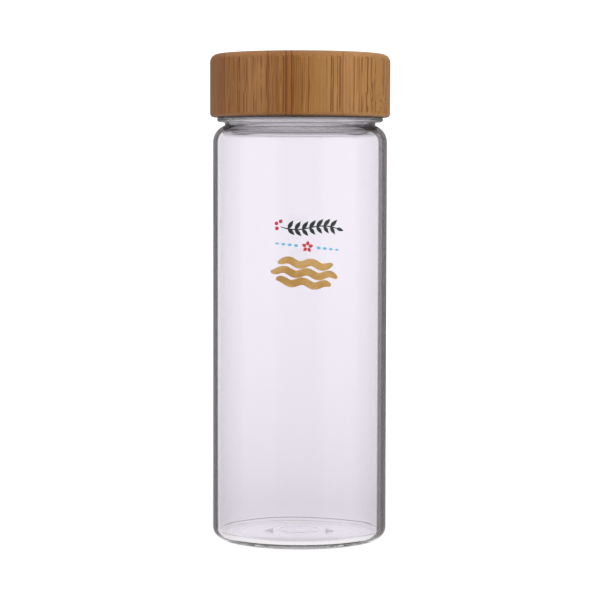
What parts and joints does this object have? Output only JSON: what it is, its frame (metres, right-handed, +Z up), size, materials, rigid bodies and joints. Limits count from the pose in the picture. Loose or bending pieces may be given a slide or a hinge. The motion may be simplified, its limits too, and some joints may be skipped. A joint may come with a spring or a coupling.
{
  "type": "glass water bottle",
  "caption": "Clear straight-sided glass water bottle with a round shoulder, threaded neck, pushed-up base and a turned bamboo screw cap with a sealed inner liner.",
  "frame": {"origin": "centre of the base, on the surface that the bottle stands on", "axes": "+Z up along the bottle's axis, -Y towards the printed front"},
  "size_m": [0.0724, 0.0724, 0.1952],
  "materials": {
    "clear_glass": "clear, fire-polished",
    "bamboo": "caramel bamboo, satin oiled",
    "white_liner": "moulded polypropylene, satin",
    "silicone": "soft translucent white",
    "adhesive": "cured clear amber resin"
  },
  "bodies": {
    "bottle": {"glass_bottle": "clear_glass"},
    "seal": {"seal_ring": "silicone"},
    "cap": {"bamboo_shell": "bamboo", "threaded_liner": "white_liner", "cap_adhesive": "adhesive"}
  },
  "joints": [
    {"name": "cap_rise", "type": "slide", "parent": "bottle", "child": "seal", "axis": [0, 0, 1], "range_m": [0, 0.0401]},
    {"name": "cap_turn", "type": "hinge", "parent": "seal", "child": "cap", "pos_m": [0, 0, 0.17], "axis": [0, 0, 1], "range_deg": [0, 1800]}
  ],
  "couplings": [
    {"joint": "cap_rise", "follows": "cap_turn", "m_per_rad": 0.0012732}
  ]
}
